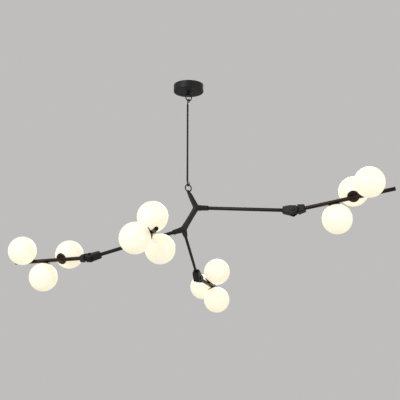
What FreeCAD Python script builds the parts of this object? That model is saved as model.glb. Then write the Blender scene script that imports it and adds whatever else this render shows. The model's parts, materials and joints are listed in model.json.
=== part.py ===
"""Branch chandelier: twelve opal globes in four clusters of three on a cast and tubular frame.

The frame hangs from a ceiling canopy by a rigid stem with a ring link at each end, and
each cluster turns on a knuckle. Millimetres, +Z up, +X right, +Y away from the viewer.
The origin is the centre of the ceiling plane that the canopy and its bracket touch.
"""
import FreeCAD, Part
import math
import os
from types import SimpleNamespace

import Sketcher
from FreeCAD import Placement, Rotation, Vector

# Driving dimensions, in millimetres and degrees. Each fills one cell of the sheet.
SIZES = {
    # Canopy and bracket
    "canopy_diameter": 130.0,
    "canopy_height": 32.0,
    "canopy_wall": 1.5,
    "canopy_edge_radius": 3.0,
    "bracket_length": 106.0,
    "bracket_width": 22.0,
    "bracket_thickness": 2.5,
    "bracket_drop": 8.0,
    "bracket_hole_spacing": 88.9,
    "bracket_hole_diameter": 5.0,
    "bracket_hole_margin": 5.0,
    "nipple_diameter": 10.0,
    "nipple_bore": 7.0,
    "nipple_end": 1.0,
    "lock_nut_height": 4.0,
    "lock_nut_width": 15.0,
    "terminal_start": 10.5,
    "terminal_length": 20.0,
    "terminal_width": 17.0,
    "terminal_height": 13.0,
    "terminal_hole": 3.6,
    # Boss under the canopy, ring links, hooks and stem
    "boss_diameter": 18.0,
    "boss_flange": 3.0,
    "boss_neck": 2.5,
    "boss_thread_depth": 4.5,
    "boss_eye_drop": 3.5,
    "lug_radius": 6.5,
    "lug_thickness": 5.0,
    "lug_hole": 6.0,
    "lug_root": 12.0,
    "ring_radius": 15.0,
    "ring_wire": 5.0,
    "link_turn": 35.0,
    "link_gap": 0.4,
    "hook_radius": 7.0,
    "hook_wire": 5.0,
    "hook_sweep": 250.0,
    "hook_shank": 14.0,
    "hook_plug": 14.0,
    "stem_diameter": 8.0,
    "stem_bore": 6.0,
    "stem_length": 345.8,
    # Branching castings, six-sided legs
    "upper_hub_x": 34.1,
    "upper_hub_y": -9.8,
    "upper_hub_z": -551.0,
    "lower_hub_x": -19.4,
    "lower_hub_y": -9.8,
    "lower_hub_z": -643.2,
    "hub_ball_radius": 13.2,
    "upper_root_radius": 14.0,
    "lower_root_radius": 15.0,
    "leg_shoulder_distance": 15.0,
    "leg_shoulder_radius": 13.0,
    "leg_waist_distance": 28.0,
    "leg_waist_radius": 11.5,
    "leg_end_radius": 11.0,
    "rear_leg_end_radius": 9.2,
    "leg_lip_length": 3.0,
    "leg_lip_height": 1.2,
    "right_leg_length": 54.0,
    "left_leg_length": 45.0,
    "rear_leg_length": 44.0,
    "seam_distance": 32.0,
    "seam_radius": 12.6,
    "neck_waist_radius": 12.1,
    "neck_shoulder_drop": 19.0,
    "neck_shoulder_radius": 10.2,
    "neck_end_drop": 6.0,
    "neck_end_radius": 7.0,
    "arm_socket_depth": 22.0,
    "stud_diameter": 10.0,
    "stud_length": 36.0,
    # Arms
    "arm_diameter": 15.0,
    "rear_arm_diameter": 12.0,
    "arm_wall": 1.5,
    # Knuckles
    "knuckle_length": 46.0,
    "knuckle_height": 38.0,
    "knuckle_end_height": 26.0,
    "knuckle_shoulder": 18.0,
    "knuckle_tip": 24.0,
    "knuckle_bevel": 4.0,
    "ear_radius": 20.5,
    "ear_thickness": 8.0,
    "tongue_radius": 17.5,
    "tongue_thickness": 11.4,
    "tongue_room": 1.5,
    "shoulder_room": 1.0,
    "fork_socket_depth": 20.0,
    "tongue_socket_depth": 16.0,
    "washer_diameter": 20.0,
    "washer_thickness": 0.7,
    "bolt_diameter": 8.0,
    "bolt_head_diameter": 15.0,
    "bolt_head_height": 4.5,
    "bolt_head_bevel": 1.2,
    "bolt_key": 5.0,
    "bolt_key_depth": 2.5,
    "nut_width": 13.0,
    "nut_height": 4.5,
    "nut_rim": 0.6,
    "nut_dome": 2.5,
    "nut_engagement": 4.0,
    "grub_diameter": 4.0,
    "grub_length": 4.5,
    "grub_distance": 35.0,
    "tee_length": 50.0,
    "tee_radius": 13.0,
    "tee_overlap": 3.0,
    "tee_end_height": 20.0,
    # End tubes and what they carry
    "end_tube_diameter": 16.0,
    "end_tube_wall": 1.5,
    "first_globe": 162.0,
    "globe_spacing": 78.0,
    "globe_twist": 120.0,
    "tube_run_out": 87.0,
    "cap_recess": 0.8,
    "cap_bevel": 0.8,
    "globe_diameter": 120.0,
    "globe_wall": 3.0,
    "globe_stand_off": 2.0,
    "globe_neck_diameter": 33.0,
    "cup_diameter": 49.0,
    "cup_rim": 1.2,
    "cup_floor": 1.5,
    "cup_web": 1.3,
    "cup_flat_diameter": 28.0,
    "cup_belly": 14.0,
    "cup_foot_diameter": 19.0,
    "cup_foot_height": 2.7,
    "spigot_diameter": 7.8,
    "spigot_bore": 5.0,
    "spigot_length": 4.0,
    "holder_base_diameter": 22.0,
    "holder_base_height": 3.0,
    "holder_diameter": 15.6,
    "holder_height": 17.5,
    "lamp_diameter": 16.0,
    "lamp_length": 48.0,
    "lamp_key_length": 11.0,
    "lamp_key_width": 5.5,
    "lamp_key_depth": 7.0,
    # Plugs in the free ends of the end tubes; the long one balances the frame
    "left_plug_length": 8.0,
    "right_plug_length": 80.0,
    "rear_plug_length": 8.0,
    "front_plug_length": 8.0,
    # Clearances
    "seat_gap": 0.05,
    "bore_gap": 0.06,
    "glass_gap": 0.3,
    # Knuckle pivots, the way each end tube points, and the turn of its first globe
    "left_pivot_x": -399.9,
    "left_pivot_y": -55.2,
    "left_pivot_z": -769.5,
    "left_azimuth": 149.7,
    "left_elevation": 1.3,
    "left_roll": 3.8,
    "right_pivot_x": 426.1,
    "right_pivot_y": -164.6,
    "right_pivot_z": -595.9,
    "right_azimuth": -18.5,
    "right_elevation": 8.4,
    "right_roll": 195.7,
    "rear_pivot_x": 39.3,
    "rear_pivot_y": 279.8,
    "rear_pivot_z": -807.7,
    "rear_azimuth": 73.7,
    "rear_elevation": -2.6,
    "rear_roll": 30.7,
    "front_pivot_x": -193.4,
    "front_pivot_y": -73.7,
    "front_pivot_z": -709.6,
    "front_azimuth": -77.7,
    "front_elevation": -2.7,
    "front_roll": 257.1,
}

SIDES = ("left", "right", "rear", "front")
GLOBES_PER_BRANCH = 3
HEXAGON = 6
TERMINAL_WAYS = 3
TOOL_MARGIN = 1.0
RIGHT = Vector(1, 0, 0)
AWAY = Vector(0, 1, 0)
UP = Vector(0, 0, 1)


class Size:
    """A length or angle: its value, and the sheet formula that it is bound by."""

    def __init__(self, value, formula=None):
        self.value = float(value)
        self.formula = repr(float(value)) if formula is None else formula

    def _joined(self, other, sign, value):
        return Size(value, f"({self.formula} {sign} {as_size(other).formula})")

    def __add__(self, other):
        return self._joined(other, "+", self.value + as_size(other).value)

    def __sub__(self, other):
        return self._joined(other, "-", self.value - as_size(other).value)

    def __mul__(self, other):
        return self._joined(other, "*", self.value * as_size(other).value)

    def __truediv__(self, other):
        return self._joined(other, "/", self.value / as_size(other).value)

    def __neg__(self):
        return Size(-self.value, f"(0 - {self.formula})")

    def root(self):
        """Square root."""
        return Size(math.sqrt(self.value), f"sqrt({self.formula})")


def as_size(number):
    """A plain number as a Size."""
    return number if isinstance(number, Size) else Size(number)


ZERO = Size(0)
doc = FreeCAD.newDocument("branch_chandelier")
sheet = doc.addObject("Spreadsheet::Sheet", "Dimensions")
for row, (alias, number) in enumerate(SIZES.items(), start=1):
    sheet.set(f"A{row}", alias)
    sheet.set(f"B{row}", str(number))
    sheet.setAlias(f"B{row}", alias)
doc.recompute()
S = SimpleNamespace(**{name: Size(sheet.get(name), f"Dimensions.{name}") for name in SIZES})
NODES = {}


# ---------------------------------------------------------------- helpers

def bind(obj, **properties):
    """Set an object's properties and bind them to their sheet formulas."""
    for name, size in properties.items():
        size = as_size(size)
        setattr(obj, name, size.value)
        if "Dimensions." in size.formula:
            obj.setExpression(name, size.formula)
    return obj


def node(obj, label):
    """Register an object as one of the chandelier's named pieces."""
    obj.Label = label
    NODES[label] = obj
    return obj


def point(x, y, z):
    """A point at three sizes."""
    return Vector(as_size(x).value, as_size(y).value, as_size(z).value)


def shift(x, y, z):
    """A placement that only moves."""
    return Placement(point(x, y, z), Rotation())


def frame(origin, z_axis, x_hint):
    """A placement with its Z along z_axis and its X as near x_hint as it can be."""
    y_axis = z_axis.cross(x_hint)
    return Placement(origin, Rotation(y_axis.cross(z_axis), y_axis, z_axis, "ZXY"))


def new_sketch(body, name, role):
    """A sketch on one of the body's own origin planes."""
    sketch = body.newObject("Sketcher::SketchObject", name)
    plane = next(o for o in body.Origin.OriginFeatures if o.Role == role)
    sketch.AttachmentSupport = [(plane, "")]
    sketch.MapMode = "FlatFace"
    return sketch


def hold(sketch, kind, size, *where):
    """Add a dimension to a sketch and bind it."""
    index = sketch.addConstraint(Sketcher.Constraint(kind, *where, size.value))
    if "Dimensions." in size.formula:
        sketch.setExpression(f"Constraints[{index}]", size.formula)


def hold_across(sketch, geometry, end, x):
    """Hold a sketch point at a distance along the sketch's X, or on its upright axis."""
    if x is ZERO:
        sketch.addConstraint(Sketcher.Constraint("PointOnObject", geometry, end, -2))
    else:
        hold(sketch, "DistanceX", x, -1, 1, geometry, end)


def hold_up(sketch, geometry, end, y):
    """Hold a sketch point at a distance along the sketch's Y, or on its level axis."""
    if y is ZERO:
        sketch.addConstraint(Sketcher.Constraint("PointOnObject", geometry, end, -1))
    else:
        hold(sketch, "DistanceY", y, -1, 1, geometry, end)


def angle_of(vector):
    """Direction of a plane vector, in radians."""
    return math.atan2(vector.y, vector.x)


def add_arc(sketch, start, stop, corner, index):
    """Add the shorter arc to a corner (x, y, radius) and hold its size.

    A positive radius has the centre on the left of the way, a negative one on the right.
    """
    x, y, radius = corner
    left = radius.value > 0
    chord = stop - start
    lift = math.sqrt(max(radius.value**2 - (chord.Length / 2) ** 2, 0.0))
    side = Vector(-chord.y, chord.x, 0).normalize() * (lift if left else -lift)
    centre = (start + stop) * 0.5 + side
    first, last = (start, stop) if left else (stop, start)
    begin = angle_of(first - centre)
    finish = angle_of(last - centre)
    if finish <= begin:
        finish += 2 * math.pi
    circle = Part.Circle(centre, UP, abs(radius.value))
    sketch.addGeometry(Part.ArcOfCircle(circle, begin, finish), False)
    if lift > 1e-3:
        hold(sketch, "Radius", radius if left else -radius, index)
    elif abs(chord.x) > abs(chord.y):
        hold_up(sketch, index, 3, y)
    else:
        hold_across(sketch, index, 3, x)
    return (1, 2) if left else (2, 1)


def draw_outline(sketch, corners):
    """Draw a closed outline of corners (x, y), or (x, y, radius) where an arc arrives."""
    points = [point(c[0], c[1], 0) for c in corners]
    ends = []
    for i, start in enumerate(points):
        target = (i + 1) % len(points)
        if len(corners[target]) == 3:
            ends.append(add_arc(sketch, start, points[target], corners[target], i))
        else:
            sketch.addGeometry(Part.LineSegment(start, points[target]), False)
            ends.append((1, 2))
    for i, corner in enumerate(corners):
        after = (i + 1) % len(points)
        sketch.addConstraint(
            Sketcher.Constraint("Coincident", i, ends[i][1], after, ends[after][0]))
        hold_across(sketch, i, ends[i][0], corner[0])
        hold_up(sketch, i, ends[i][0], corner[1])


def draw_circle(sketch, x, y, diameter):
    """Draw a circle held at sheet-driven coordinates."""
    radius = diameter / 2
    index = sketch.addGeometry(Part.Circle(point(x, y, 0), UP, radius.value), False)
    hold(sketch, "Radius", radius, index)
    hold_across(sketch, index, 3, x)
    hold_up(sketch, index, 3, y)


def pad(body, sketch, length):
    """Pad a sketch by equal halves on both sides of its plane."""
    feature = body.newObject("PartDesign::Pad", sketch.Name + "_pad")
    feature.Profile = sketch
    feature.Midplane = True
    return bind(feature, Length=length)


def pocket(body, sketch, width=None):
    """Cut a sketch to equal depths on both sides of its plane, or right through."""
    feature = body.newObject("PartDesign::Pocket", sketch.Name + "_cut")
    feature.Profile = sketch
    feature.Midplane = True
    if width is None:
        feature.Type = "ThroughAll"
        return feature
    return bind(feature, Length=width)


def revolve(body, sketch):
    """Revolve a half-section once round the sketch's upright axis."""
    feature = body.newObject("PartDesign::Revolution", sketch.Name + "_turn")
    feature.Profile = sketch
    feature.ReferenceAxis = (sketch, ["V_Axis"])
    feature.Angle = 360.0
    return feature


def turned(name, corners):
    """A body turned about Z from one half-section in the XZ plane."""
    body = doc.addObject("PartDesign::Body", name + "_body")
    section = new_sketch(body, name + "_section", "XZ_Plane")
    draw_outline(section, corners)
    revolve(body, section)
    return body


def bevel_end_faces(body, base, size):
    """Chamfer the outlines of the two faces that are square to Z."""
    doc.recompute()
    ends = [
        f"Face{i}" for i, face in enumerate(base.Shape.Faces, start=1)
        if isinstance(face.Surface, Part.Plane) and abs(face.normalAt(0, 0).z) > 0.99
    ]
    feature = body.newObject("PartDesign::Chamfer", body.Name + "_bevel")
    feature.Base = (base, ends)
    return bind(feature, Size=size)


def primitive(kind, name, placement, **sizes):
    """A primitive solid with its sizes bound to the sheet."""
    obj = doc.addObject(kind, name)
    obj.Placement = placement
    return bind(obj, **sizes)


def rod(name, placement, diameter, length):
    """A cylinder along the placement's Z."""
    return primitive("Part::Cylinder", name, placement, Radius=diameter / 2, Height=length)


def hexagonal_rod(name, placement, corner_radius, length):
    """A six-sided prism along the placement's Z, with one corner on its X."""
    prism = primitive("Part::Prism", name, placement, Circumradius=corner_radius,
                      Height=length)
    prism.Polygon = HEXAGON
    return prism


def fuse(name, shapes):
    """Fuse shapes into one solid."""
    obj = doc.addObject("Part::MultiFuse", name)
    obj.Shapes = shapes
    obj.Refine = True
    return obj


def cut(name, base, tools):
    """Cut one tool or several out of a base."""
    obj = doc.addObject("Part::Cut", name)
    obj.Base = base
    obj.Tool = tools[0] if len(tools) == 1 else fuse(name + "_tools", tools)
    return obj


def tube(name, placement, diameter, bore, length):
    """A round tube along the placement's Z."""
    outside = rod(name + "_outside", placement, diameter, length)
    inside = rod(name + "_inside", placement, bore, length)
    return cut(name, outside, [inside])


def group(label, source, places):
    """One node of linked copies of a source piece, each at its own place."""
    copies = []
    for i, place in enumerate(places, start=1):
        link = doc.addObject("App::Link", f"{label}_copy_{i}")
        link.LinkedObject = source
        link.Placement = place
        copies.append(link)
    obj = doc.addObject("Part::Compound", label)
    obj.Links = copies
    return node(obj, label)


# ---------------------------------------------------------------- ceiling side

def nipple_hole():
    """Diameter of each hole that the nipple passes through or screws into."""
    return S.nipple_diameter + S.seat_gap * 2


def make_ceiling_bracket():
    """Joggled steel strap with two screw holes and a hole for the nipple."""
    body = doc.addObject("PartDesign::Body", "ceiling_bracket")
    side = new_sketch(body, "strap_side", "XZ_Plane")
    end = S.bracket_length / 2
    foot = S.bracket_hole_spacing / 2 - S.bracket_hole_margin
    bend = foot - S.bracket_drop
    low = -S.bracket_drop
    thick = S.bracket_thickness
    draw_outline(side, [
        (-end, ZERO), (-end, -thick), (-foot, -thick), (-bend, low - thick),
        (bend, low - thick), (foot, -thick), (end, -thick), (end, ZERO),
        (foot, ZERO), (bend, low), (-bend, low), (-foot, ZERO),
    ])
    pad(body, side, S.bracket_width)
    holes = new_sketch(body, "strap_holes", "XY_Plane")
    draw_circle(holes, S.bracket_hole_spacing / 2, ZERO, S.bracket_hole_diameter)
    draw_circle(holes, -S.bracket_hole_spacing / 2, ZERO, S.bracket_hole_diameter)
    draw_circle(holes, ZERO, ZERO, nipple_hole())
    pocket(body, holes)
    node(body, "ceiling_bracket")


def make_nipple_and_nuts():
    """Threaded tube that joins bracket, canopy and boss, and its two lock nuts."""
    top = -S.bracket_drop + S.lock_nut_height + S.nipple_end
    low = -S.canopy_height - S.boss_thread_depth + S.nipple_end / 2
    nipple = tube("mounting_nipple", shift(ZERO, ZERO, low), S.nipple_diameter,
                  S.nipple_bore, top - low)
    node(nipple, "mounting_nipple")
    blank = hexagonal_rod("lock_nut_blank", Placement(), S.lock_nut_width / math.sqrt(3),
                          S.lock_nut_height)
    bore = rod("lock_nut_bore", Placement(), nipple_hole(), S.lock_nut_height)
    nut = cut("lock_nut", blank, [bore])
    under_strap = -S.bracket_drop - S.bracket_thickness
    group("nipple_lock_nuts", nut, [
        shift(ZERO, ZERO, -S.bracket_drop),
        shift(ZERO, ZERO, under_strap - S.lock_nut_height),
    ])


def make_canopy():
    """Spun steel cup, open to the ceiling, with a rounded lower edge."""
    outer = S.canopy_diameter / 2
    low = -S.canopy_height
    edge = S.canopy_edge_radius
    wall = S.canopy_wall
    hole = nipple_hole() / 2
    body = turned("canopy", [
        (hole, low), (outer - edge, low), (outer, low + edge, edge), (outer, ZERO),
        (outer - wall, ZERO), (outer - wall, low + edge),
        (outer - edge, low + wall, wall - edge), (hole, low + wall),
    ])
    node(body, "canopy")


def make_canopy_boss():
    """Screw collar under the canopy whose flat lug carries the upper ring."""
    top = -S.canopy_height
    flange_low = top - S.boss_flange
    neck_low = flange_low - S.boss_neck
    thread = nipple_hole() / 2
    thread_top = top - S.boss_thread_depth
    body = turned("canopy_boss", [
        (thread, top), (thread, thread_top), (ZERO, thread_top), (ZERO, neck_low),
        (S.lug_radius, neck_low), (S.boss_diameter / 2, flange_low),
        (S.boss_diameter / 2, top),
    ])
    eye = boss_eye_height()
    lug = new_sketch(body, "boss_lug", "YZ_Plane")
    root = neck_low + S.boss_neck / 4
    draw_outline(lug, [
        (-S.lug_radius, root), (-S.lug_radius, eye), (S.lug_radius, eye, S.lug_radius),
        (S.lug_radius, root),
    ])
    pad(body, lug, S.lug_thickness)
    hole = new_sketch(body, "boss_eye", "YZ_Plane")
    draw_circle(hole, ZERO, eye, S.lug_hole)
    pocket(body, hole)
    body.Placement = Placement(Vector(), Rotation(UP, S.link_turn.value))
    node(body, "canopy_boss")


def make_terminal_block():
    """Three-way terminal block under one side of the bracket."""
    top = -S.bracket_drop - S.bracket_thickness
    block = primitive(
        "Part::Box", "terminal_body",
        shift(S.terminal_start, -S.terminal_width / 2, top - S.terminal_height),
        Length=S.terminal_length, Width=S.terminal_width, Height=S.terminal_height)
    ways = []
    for i in range(TERMINAL_WAYS):
        x = S.terminal_start + S.terminal_length * (i + 0.5) / TERMINAL_WAYS
        start = point(x, -S.terminal_width, top - S.terminal_height / 2)
        ways.append(rod(f"terminal_way_{i + 1}", frame(start, AWAY, RIGHT),
                        S.terminal_hole, S.terminal_width * 2))
    node(cut("terminal_block", block, ways), "terminal_block")


# ---------------------------------------------------------------- links and stem

def boss_eye_height():
    """Height of the eye in the boss, where the upper ring's top wire passes."""
    return -S.canopy_height - S.boss_flange - S.boss_neck - S.boss_eye_drop


def link_axes():
    """Level directions along the plane of the rings and square to it."""
    turn = Rotation(UP, S.link_turn.value)
    return turn.multVec(RIGHT), turn.multVec(AWAY)


def link_heights():
    """Heights down the chain: ring tops, hook eyes, foot of the stem, eye of the casting."""
    reach = S.hook_radius - (S.ring_wire + S.hook_wire) / 2 - S.link_gap
    upper_ring = boss_eye_height()
    upper_hook = upper_ring - S.ring_radius * 2 - reach
    stem_low = upper_hook - S.hook_shank - S.stem_length
    lower_hook = stem_low - S.hook_shank
    lower_ring = lower_hook - reach
    return SimpleNamespace(
        upper_ring=upper_ring, upper_hook=upper_hook, stem_low=stem_low,
        lower_hook=lower_hook, lower_ring=lower_ring,
        casting_eye=lower_ring - S.ring_radius * 2)


def make_hook():
    """Open wire hook round the origin in the XY plane, its shank and plug along -Y."""
    start_turn = Rotation(UP, 180 - S.hook_sweep.value)
    loop = primitive("Part::Torus", "hook_loop", Placement(Vector(), start_turn),
                     Radius1=S.hook_radius, Radius2=S.hook_wire / 2, Angle3=S.hook_sweep)
    shank_top = point(-S.hook_radius, ZERO, ZERO)
    shank = rod("hook_shank", frame(shank_top, -AWAY, UP), S.hook_wire, S.hook_shank)
    plug_top = point(-S.hook_radius, -S.hook_shank, ZERO)
    plug = rod("hook_plug", frame(plug_top, -AWAY, UP), S.stem_bore - S.seat_gap * 2,
               S.hook_plug)
    tip_centre = start_turn.multVec(point(S.hook_radius, ZERO, ZERO))
    tip = primitive("Part::Sphere", "hook_tip", Placement(tip_centre, Rotation()),
                    Radius=S.hook_wire / 2)
    return fuse("stem_hook", [loop, shank, plug, tip])


def make_links_and_stem():
    """Two ring links, and the stem with an open hook at each end."""
    along, across = link_axes()
    heights = link_heights()
    for label, top in (("upper_ring", heights.upper_ring), ("lower_ring", heights.lower_ring)):
        centre = point(ZERO, ZERO, top - S.ring_radius)
        ring = primitive("Part::Torus", label, frame(centre, across, along),
                         Radius1=S.ring_radius, Radius2=S.ring_wire / 2)
        node(ring, label)
    group("stem_hooks", make_hook(), [
        frame(point(ZERO, ZERO, heights.upper_hook), -along, -across),
        frame(point(ZERO, ZERO, heights.lower_hook), along, -across),
    ])
    foot = point(ZERO, ZERO, heights.stem_low) + across * S.hook_radius.value
    stem = tube("stem_tube", Placement(foot, Rotation()), S.stem_diameter, S.stem_bore,
                S.stem_length)
    node(stem, "stem_tube")


# ---------------------------------------------------------------- layout of the branches

def hub(level):
    """Centre of the upper or the lower casting."""
    return point(*(getattr(S, f"{level}_hub_{axis}") for axis in "xyz"))


def pivot(side):
    """Centre of a branch's knuckle."""
    return point(*(getattr(S, f"{side}_pivot_{axis}") for axis in "xyz"))


def tube_direction(side):
    """Unit vector along a branch's end tube, away from its knuckle."""
    azimuth = math.radians(getattr(S, f"{side}_azimuth").value)
    elevation = math.radians(getattr(S, f"{side}_elevation").value)
    level = Vector(math.cos(azimuth), math.sin(azimuth), 0)
    return level * math.cos(elevation) + UP * math.sin(elevation)


def arm_start(side):
    """Where a branch leaves the frame: a hub or, at the front, the left arm's nearest point."""
    if side == "right":
        return hub("upper")
    if side != "front":
        return hub("lower")
    way = (pivot("left") - hub("lower")).normalize()
    return hub("lower") + way * (pivot("front") - hub("lower")).dot(way)


def arm_direction(side):
    """Unit vector from the frame towards a branch's knuckle."""
    return (pivot(side) - arm_start(side)).normalize()


def hinge_axis(side):
    """Axis of a knuckle, square to its arm and to its end tube."""
    return arm_direction(side).cross(tube_direction(side)).normalize()


def fork_frame(side):
    """Frame of a fork: origin on the pivot, X along the arm, Z along the hinge axis."""
    return frame(pivot(side), hinge_axis(side), arm_direction(side))


def branch_frame(side):
    """Frame of a branch: origin on the pivot, X along the end tube, Z along the axis."""
    return frame(pivot(side), hinge_axis(side), tube_direction(side))


def rolled_frame(side):
    """Frame of a branch, rolled about its end tube until Z points at its first globe."""
    roll = getattr(S, f"{side}_roll").value
    return branch_frame(side) * Placement(Vector(), Rotation(RIGHT, roll - 90))


def mount(index):
    """Place of a globe on its end tube: on the tube's axis, Z outwards to the globe."""
    distance = S.first_globe + S.globe_spacing * index
    return Placement(point(distance, ZERO, ZERO),
                     Rotation(RIGHT, S.globe_twist.value * index))


# ---------------------------------------------------------------- castings

def leg(name, start, way, stations):
    """One six-sided leg, lofted through (distance, corner radius) stations."""
    sections = []
    for i, (distance, radius) in enumerate(stations, start=1):
        place = frame(start + way * distance.value, way, -AWAY)
        section = primitive("Part::RegularPolygon", f"{name}_section_{i}", place,
                            Circumradius=radius)
        section.Polygon = HEXAGON
        sections.append(section)
    loft = doc.addObject("Part::Loft", name)
    loft.Sections = sections
    loft.Solid = True
    loft.Ruled = True
    return loft


def arm_socket(name, start, way, leg_length, diameter):
    """Blind bore for an arm, from the mouth of a leg inwards."""
    place = frame(start + way * (leg_length - S.arm_socket_depth).value, way, -AWAY)
    return rod(name, place, diameter + S.seat_gap * 2, S.arm_socket_depth + TOOL_MARGIN)


def between_hubs(distance):
    """Placement on the line from the upper to the lower hub, Z pointing down the line."""
    way = (hub("lower") - hub("upper")).normalize()
    return frame(hub("upper") + way * distance.value, way, -AWAY)


def stud_bore(name):
    """Bore that both castings have for the stud, over its whole length."""
    start = S.seam_distance - S.stud_length / 2 - TOOL_MARGIN
    return rod(name, between_hubs(start), S.stud_diameter + S.seat_gap * 2,
               S.stud_length + TOOL_MARGIN * 2)


def make_upper_casting():
    """Upper casting: lug for the lower ring, leg to the right arm, leg to the seam."""
    centre = hub("upper")
    eye = point(ZERO, ZERO, link_heights().casting_eye)
    up = (eye - centre).normalize()
    reach = Size((eye - centre).Length)
    neck = leg("neck_leg", centre, up, [
        (ZERO, S.upper_root_radius), (S.leg_waist_distance, S.neck_waist_radius),
        (reach - S.neck_shoulder_drop, S.neck_shoulder_radius),
        (reach - S.neck_end_drop, S.neck_end_radius)])
    right = arm_direction("right")
    right_leg = leg("right_leg", centre, right, [
        (ZERO, S.upper_root_radius), (S.leg_shoulder_distance, S.leg_shoulder_radius),
        (S.leg_waist_distance, S.leg_waist_radius), (S.right_leg_length, S.leg_end_radius)])
    seam_leg = leg("upper_seam_leg", centre, (hub("lower") - centre).normalize(), [
        (ZERO, S.upper_root_radius), (S.seam_distance, S.seam_radius)])
    ball = primitive("Part::Sphere", "upper_ball", Placement(centre, Rotation()),
                     Radius=S.hub_ball_radius)
    lug_frame = frame(eye, link_axes()[0], up)
    low_face = -S.lug_thickness / 2
    lug = rod("upper_lug", lug_frame * shift(ZERO, ZERO, low_face), S.lug_radius * 2,
              S.lug_thickness)
    web = primitive("Part::Box", "upper_lug_web",
                    lug_frame * shift(-S.lug_root, -S.lug_radius, low_face),
                    Length=S.lug_root, Width=S.lug_radius * 2, Height=S.lug_thickness)
    solid = fuse("upper_casting_solid", [ball, neck, right_leg, seam_leg, lug, web])
    hole = rod("upper_lug_hole", lug_frame * shift(ZERO, ZERO, -S.lug_thickness),
               S.lug_hole, S.lug_thickness * 2)
    bore = arm_socket("right_arm_socket", centre, right, S.right_leg_length, S.arm_diameter)
    casting = cut("upper_y_casting", solid, [hole, bore, stud_bore("upper_stud_bore")])
    node(casting, "upper_y_casting")


def make_lower_casting():
    """Lower casting: leg to the seam, legs to the left and the rear arms."""
    centre = hub("lower")
    span = Size((hub("upper") - centre).Length) - S.seam_distance
    seam_leg = leg("lower_seam_leg", centre, (hub("upper") - centre).normalize(), [
        (ZERO, S.lower_root_radius), (S.leg_waist_distance, S.leg_shoulder_radius),
        (span, S.seam_radius)])
    left = arm_direction("left")
    left_leg = leg("left_leg", centre, left, [
        (ZERO, S.lower_root_radius), (S.leg_shoulder_distance, S.leg_shoulder_radius),
        (S.leg_waist_distance, S.leg_waist_radius), (S.left_leg_length, S.leg_end_radius)])
    lip_start = centre + left * (S.left_leg_length - S.leg_lip_length).value
    lip = hexagonal_rod("left_leg_lip", frame(lip_start, left, -AWAY),
                        S.leg_end_radius + S.leg_lip_height, S.leg_lip_length)
    rear = arm_direction("rear")
    rear_leg = leg("rear_leg", centre, rear, [
        (ZERO, S.lower_root_radius), (S.leg_shoulder_distance, S.leg_shoulder_radius),
        (S.leg_waist_distance, S.leg_waist_radius), (S.rear_leg_length, S.rear_leg_end_radius)])
    ball = primitive("Part::Sphere", "lower_ball", Placement(centre, Rotation()),
                     Radius=S.hub_ball_radius)
    solid = fuse("lower_casting_solid", [ball, seam_leg, left_leg, lip, rear_leg])
    bores = [
        arm_socket("left_arm_socket", centre, left, S.left_leg_length, S.arm_diameter),
        arm_socket("rear_arm_socket", centre, rear, S.rear_leg_length, S.rear_arm_diameter),
        stud_bore("lower_stud_bore"),
    ]
    node(cut("lower_y_casting", solid, bores), "lower_y_casting")


def make_stud():
    """Threaded stud that holds the two castings together at their seam."""
    start = S.seam_distance - S.stud_length / 2
    node(rod("casting_stud", between_hubs(start), S.stud_diameter, S.stud_length),
         "casting_stud")


def make_arm(side, leg_length, diameter):
    """Arm tube between the bottoms of a casting's and a fork's sockets."""
    way = arm_direction(side)
    first = arm_start(side) + way * (leg_length - S.arm_socket_depth).value
    last = pivot(side) - way * (S.knuckle_length - S.fork_socket_depth).value
    arm = tube(f"{side}_arm", frame(first, way, -AWAY), diameter,
               diameter - S.arm_wall * 2, Size((last - first).Length))
    node(arm, f"{side}_arm")


# ---------------------------------------------------------------- knuckles

def slot_width():
    """Width between a fork's ears: the tongue, its two washers and their running room."""
    return S.tongue_thickness + S.washer_thickness * 2 + S.seat_gap * 4


def knuckle_width():
    """Width of a knuckle over its ears."""
    return slot_width() + S.ear_thickness * 2


def make_fork_body(name, tail, end_height, place):
    """Bevelled lozenge, slotted between two ears, that narrows to its tail at -X."""
    body = doc.addObject("PartDesign::Body", name)
    outline = new_sketch(body, name + "_outline", "XY_Plane")
    short = S.ear_radius * math.sin(math.radians(22.5))
    long = S.ear_radius * math.cos(math.radians(22.5))
    draw_outline(outline, [
        (-tail, -end_height / 2), (-S.knuckle_shoulder, -S.knuckle_height / 2),
        (ZERO, -S.knuckle_tip), (long, -short), (long, short), (short, long),
        (-S.knuckle_shoulder, S.knuckle_height / 2), (-tail, end_height / 2),
    ])
    bevel_end_faces(body, pad(body, outline, knuckle_width()), S.knuckle_bevel)
    slot = new_sketch(body, name + "_slot", "XY_Plane")
    root = S.tongue_radius + S.tongue_room
    half = root * math.cos(math.radians(60))
    step = root * math.sin(math.radians(60))
    wide = S.knuckle_tip + S.tongue_room
    draw_outline(slot, [
        (-half, -step, root), (-half, -wide), (wide, -wide), (wide, wide),
        (-half, wide), (-half, step),
    ])
    pocket(body, slot, slot_width())
    bore = new_sketch(body, name + "_bore", "XY_Plane")
    draw_circle(bore, ZERO, ZERO, S.bolt_diameter + S.seat_gap)
    pocket(body, bore)
    body.Placement = place
    return body


def grub_frame(side):
    """Place of a grub screw: its point against the arm, Z outwards."""
    if side == "front":
        out = -arm_direction("front")
        arm = frame(arm_start("front"), out, arm_direction("left"))
    else:
        arm = fork_frame(side) * frame(point(-S.grub_distance, ZERO, ZERO), AWAY, RIGHT)
    return arm * shift(ZERO, ZERO, arm_diameter(side) / 2 + S.seat_gap * 2)


def arm_diameter(side):
    """Diameter of the arm that a knuckle is fixed to."""
    return S.rear_arm_diameter if side == "rear" else S.arm_diameter


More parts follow.
